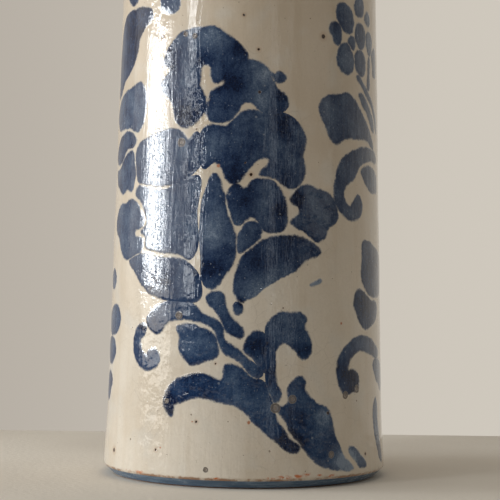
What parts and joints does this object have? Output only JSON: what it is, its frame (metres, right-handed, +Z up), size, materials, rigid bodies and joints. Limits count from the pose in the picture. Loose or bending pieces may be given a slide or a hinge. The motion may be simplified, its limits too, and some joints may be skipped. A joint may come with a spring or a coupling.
{
  "type": "ceramic vase",
  "caption": "Tall tapering pottery vase with a short rolled neck, white tin glaze and raised cobalt flower brushwork over a bevelled foot.",
  "frame": {"origin": "centre of the circle the foot stands on", "axes": "+Z up along the vase's axis; -Y is the front, the middle of the painted bloom; +X is to the viewer's right"},
  "size_m": [0.1396, 0.1396, 0.3385],
  "materials": {
    "fired_clay": "bare fired earthenware, matt",
    "white_glaze": "cream-white tin glaze, glossy, slightly wavy and crazed",
    "blue_glaze": "thin blue-grey band under gloss glaze",
    "cobalt_enamel": "brushed cobalt, glossy, darker where it pooled"
  },
  "bodies": {
    "root": {"back_berry_sprig": "cobalt_enamel", "back_bloom_crown": "cobalt_enamel", "back_bloom_face": "cobalt_enamel", "back_bloom_heart": "cobalt_enamel", "back_bloom_petals": "cobalt_enamel", "back_bloom_tongue": "cobalt_enamel", "back_east_leaf": "cobalt_enamel", "back_edge_leaves": "cobalt_enamel", "back_fan_leaf": "cobalt_enamel", "back_foot_scroll": "cobalt_enamel", "back_ground_leaves": "cobalt_enamel", "back_heart_leaf": "cobalt_enamel", "back_hook_scroll": "cobalt_enamel", "back_rosette": "cobalt_enamel", "back_sepal_and_stem": "cobalt_enamel", "back_side_leaves": "cobalt_enamel", "back_stem_lobes": "cobalt_enamel", "back_stem_scrolls": "cobalt_enamel", "back_west_leaf": "cobalt_enamel", "base_band": "blue_glaze", "clay_body": "fired_clay", "front_berry_sprig": "cobalt_enamel", "front_bloom_crown": "cobalt_enamel", "front_bloom_face": "cobalt_enamel", "front_bloom_heart": "cobalt_enamel", "front_bloom_petals": "cobalt_enamel", "front_bloom_tongue": "cobalt_enamel", "front_east_leaf": "cobalt_enamel", "front_edge_leaves": "cobalt_enamel", "front_fan_leaf": "cobalt_enamel", "front_foot_scroll": "cobalt_enamel", "front_ground_leaves": "cobalt_enamel", "front_heart_leaf": "cobalt_enamel", "front_hook_scroll": "cobalt_enamel", "front_rosette": "cobalt_enamel", "front_sepal_and_stem": "cobalt_enamel", "front_side_leaves": "cobalt_enamel", "front_stem_lobes": "cobalt_enamel", "front_stem_scrolls": "cobalt_enamel", "front_west_leaf": "cobalt_enamel", "inner_glaze": "white_glaze", "lip_band": "blue_glaze", "outer_glaze": "white_glaze", "shoulder_rings": "cobalt_enamel", "shoulder_sprigs": "cobalt_enamel"}
  },
  "joints": []
}
